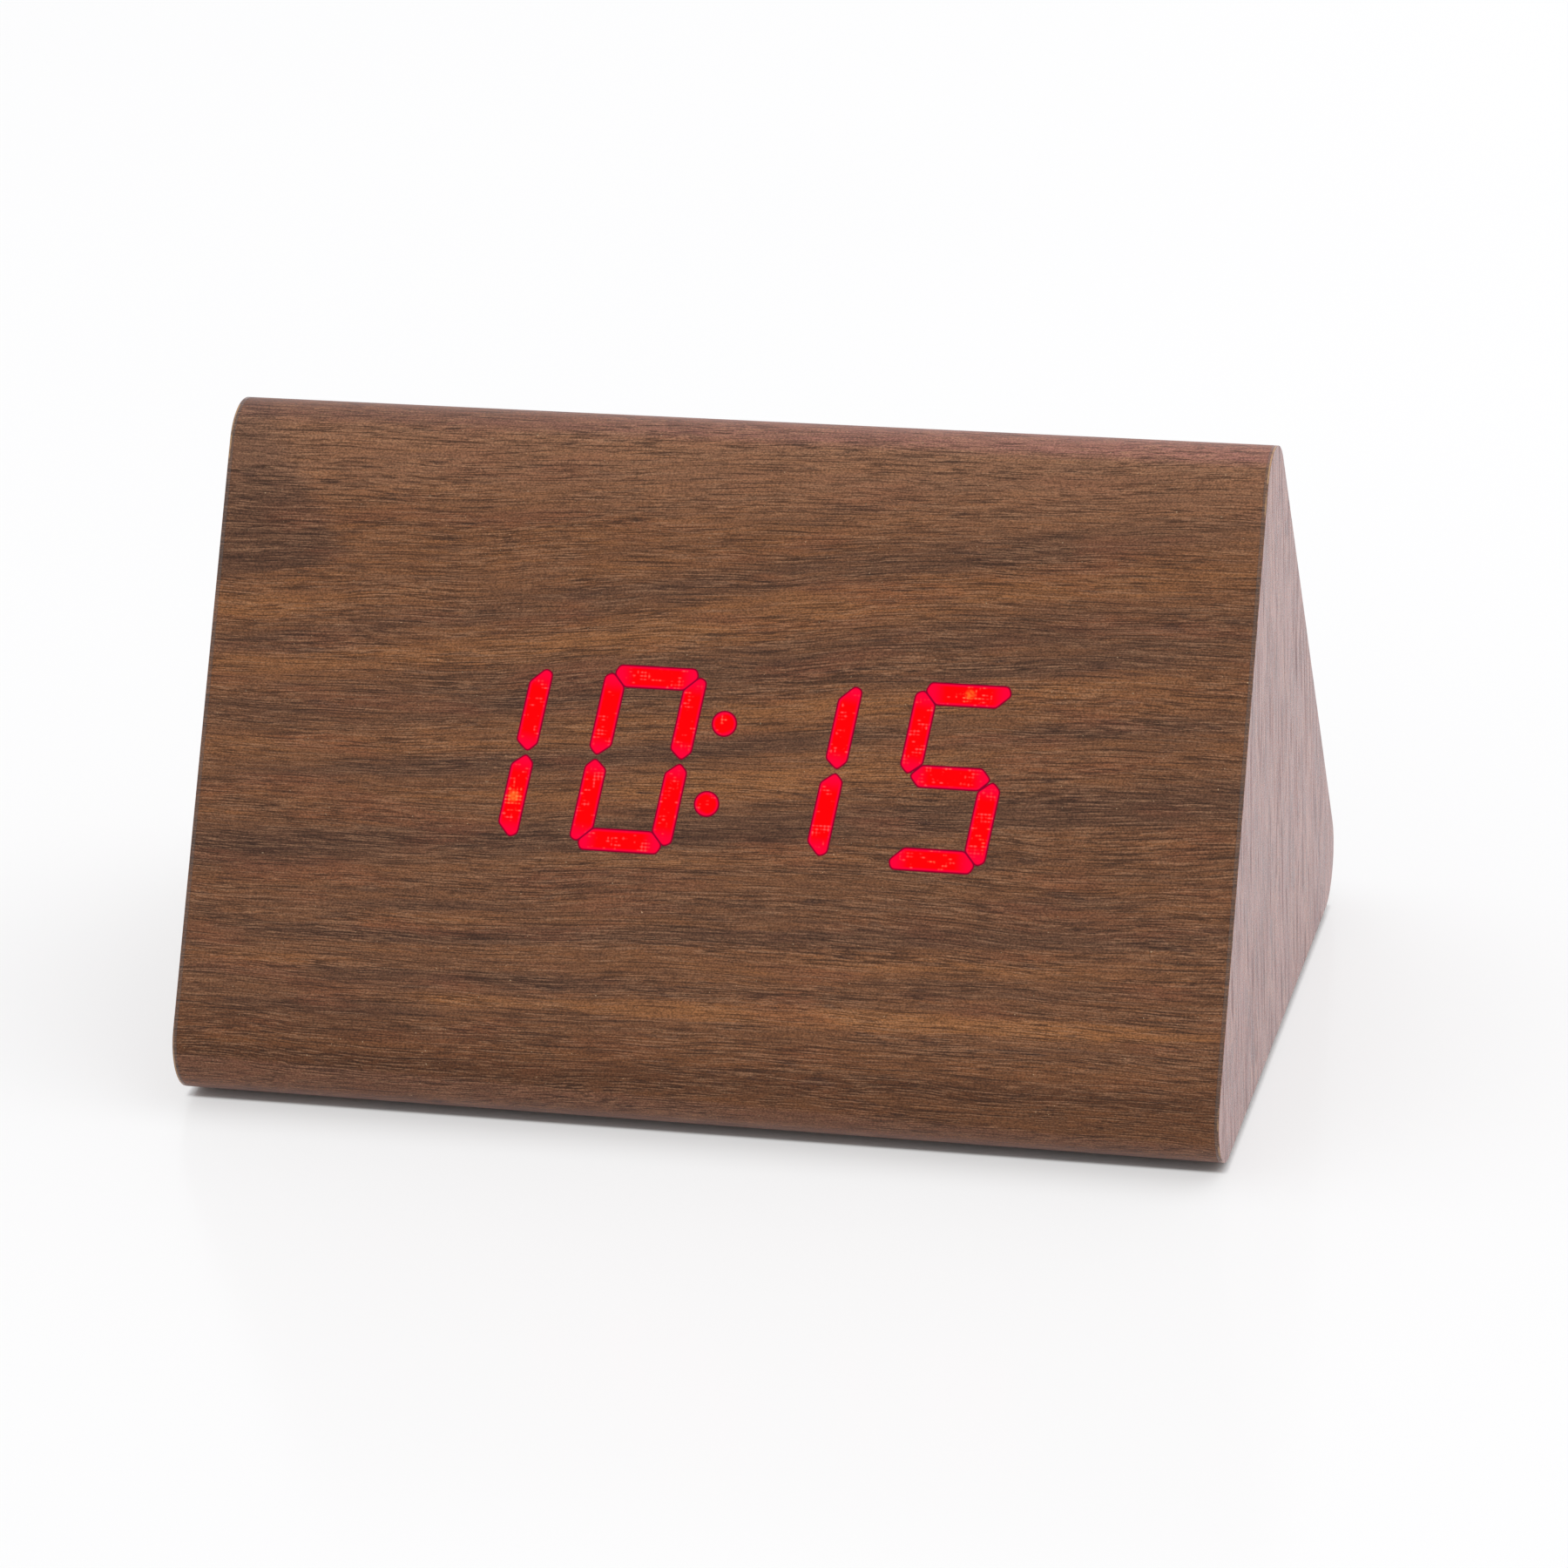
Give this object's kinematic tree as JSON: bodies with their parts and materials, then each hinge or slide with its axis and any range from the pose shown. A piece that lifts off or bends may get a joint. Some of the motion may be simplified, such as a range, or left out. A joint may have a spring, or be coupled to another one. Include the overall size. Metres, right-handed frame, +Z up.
{
  "type": "desk clock",
  "caption": "Triangular wood-film desk clock with red seven-segment figures that shine through its front, push buttons behind and a battery door below.",
  "frame": {"origin": "middle of the footprint, on the surface that the feet stand on", "axes": "+X along the clock to the right as its front is read, -Y towards the reader, +Z up"},
  "size_m": [0.12, 0.0798, 0.0714],
  "materials": {
    "mdf": "raw board",
    "walnut_film": "satin walnut-grain film, grain along the clock",
    "end_film": "satin walnut-grain film, upright grain",
    "foot_rubber": "matt black rubber",
    "lit_film": "film that glows red",
    "white_plastic": "white reflector plastic",
    "guide_resin": "milky resin",
    "led": "red-lit diode",
    "circuit_board": "green solder mask",
    "chip_epoxy": "black epoxy",
    "steel": "nickel-plated steel",
    "black_screw": "blacked steel",
    "socket_plastic": "ivory plastic",
    "ribbon_sleeve": "grey vinyl",
    "case_plastic": "fine-textured black plastic",
    "button_plastic": "black plastic",
    "plunger_plastic": "white plastic",
    "bead": "amber epoxy bead",
    "capacitor_sleeve": "dark blue sleeve",
    "cell_sleeve": "printed cell sleeve, plain",
    "red_sleeve": "red vinyl",
    "black_sleeve": "black vinyl"
  },
  "bodies": {
    "case": {"front_panel": "mdf", "rear_panel": "mdf", "base_panel": "mdf", "end_panel_left": "mdf", "end_panel_right": "mdf", "film_wrap": "walnut_film", "film_end_left": "end_film", "film_end_right": "end_film", "feet": "foot_rubber", "lit_hour_tens": "lit_film", "lit_hour_units": "lit_film", "lit_colon": "lit_film", "lit_minute_tens": "lit_film", "lit_minute_units": "lit_film", "segment_housing": "white_plastic", "guides_hour_tens": "guide_resin", "guides_hour_units": "guide_resin", "guides_colon": "guide_resin", "guides_minute_tens": "guide_resin", "guides_minute_units": "guide_resin", "led_chips": "led", "display_board": "circuit_board", "control_board": "circuit_board", "display_driver": "chip_epoxy", "controller_chip": "chip_epoxy", "switch_bodies": "chip_epoxy", "buzzer": "chip_epoxy", "dc_jack": "chip_epoxy", "display_screws": "steel", "control_board_screws": "steel", "dc_jack_pin": "steel", "crystal": "steel", "microphone": "steel", "battery_springs": "steel", "contact_plates": "steel", "control_panel_screws": "black_screw", "battery_box_screws": "black_screw", "ribbon_sockets": "socket_plastic", "ribbon_cable": "ribbon_sleeve", "control_panel": "case_plastic", "battery_box": "case_plastic", "thermistor": "bead", "capacitors": "capacitor_sleeve", "battery_cells": "cell_sleeve", "battery_lead_red": "red_sleeve", "battery_lead_black": "black_sleeve"},
    "set_key": {"set_button": "button_plastic", "set_plunger": "plunger_plastic"},
    "up_key": {"up_button": "button_plastic", "up_plunger": "plunger_plastic"},
    "down_key": {"down_button": "button_plastic", "down_plunger": "plunger_plastic"},
    "door": {"battery_door": "case_plastic"}
  },
  "joints": [
    {"name": "set_press", "type": "slide", "parent": "case", "child": "set_key", "axis": [0, -0.866, -0.5], "range_m": [0, 0.0005], "stiffness_N_per_m": 1500},
    {"name": "up_press", "type": "slide", "parent": "case", "child": "up_key", "axis": [0, -0.866, -0.5], "range_m": [0, 0.0005], "stiffness_N_per_m": 1500},
    {"name": "down_press", "type": "slide", "parent": "case", "child": "down_key", "axis": [0, -0.866, -0.5], "range_m": [0, 0.0005], "stiffness_N_per_m": 1500},
    {"name": "door_hinge", "type": "hinge", "parent": "case", "child": "door", "pos_m": [0, 0.02045, 0.0023], "axis": [1, 0, 0], "range_deg": [0, 80]}
  ]
}
